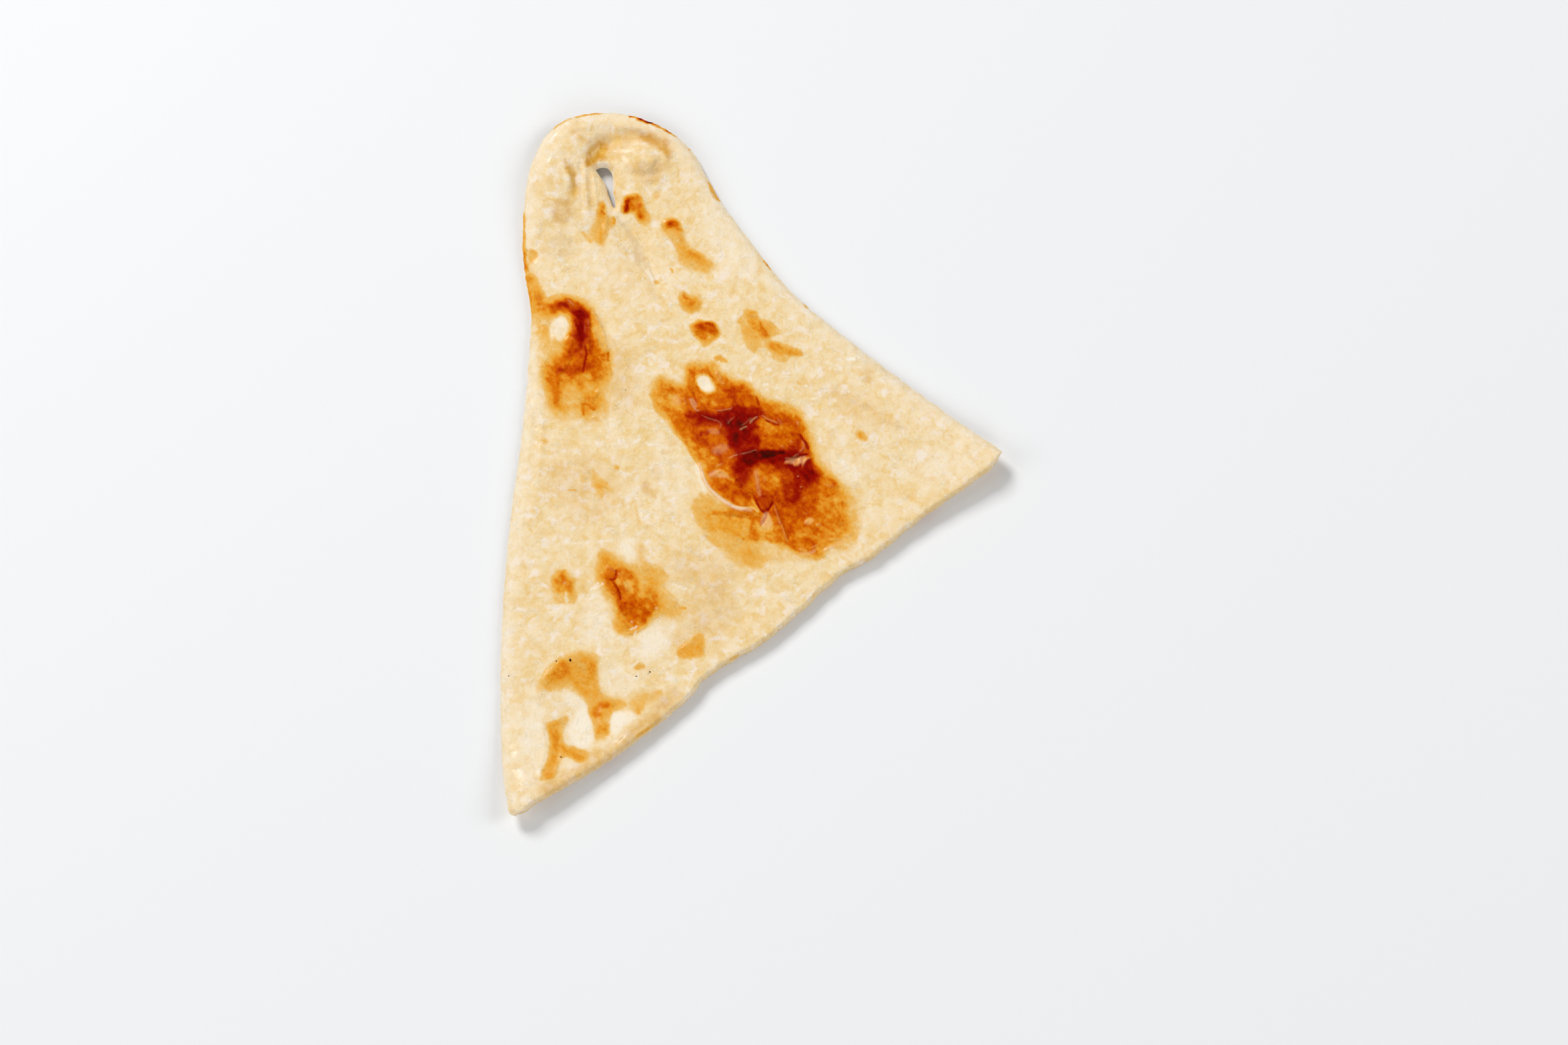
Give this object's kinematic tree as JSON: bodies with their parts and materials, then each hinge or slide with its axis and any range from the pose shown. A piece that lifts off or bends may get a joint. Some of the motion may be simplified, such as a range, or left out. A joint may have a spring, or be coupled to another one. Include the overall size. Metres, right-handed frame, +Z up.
{
  "type": "butter naan piece",
  "caption": "Tip half of a stretched butter naan flatbread, cut straight across: thin, blistered, rounded at the tip, with a small hook slot there.",
  "frame": {"origin": "on the table, under the middle of the bread's bounding box", "axes": "+Y towards the narrow tip, +X towards the wing corner of the cut, +Z up"},
  "size_m": [0.1486, 0.2228, 0.0083],
  "materials": {
    "baked_dough": "soft pale baked dough, glossy with butter, scorched brown on its blisters"
  },
  "bodies": {
    "root": {"naan": "baked_dough"}
  },
  "joints": []
}
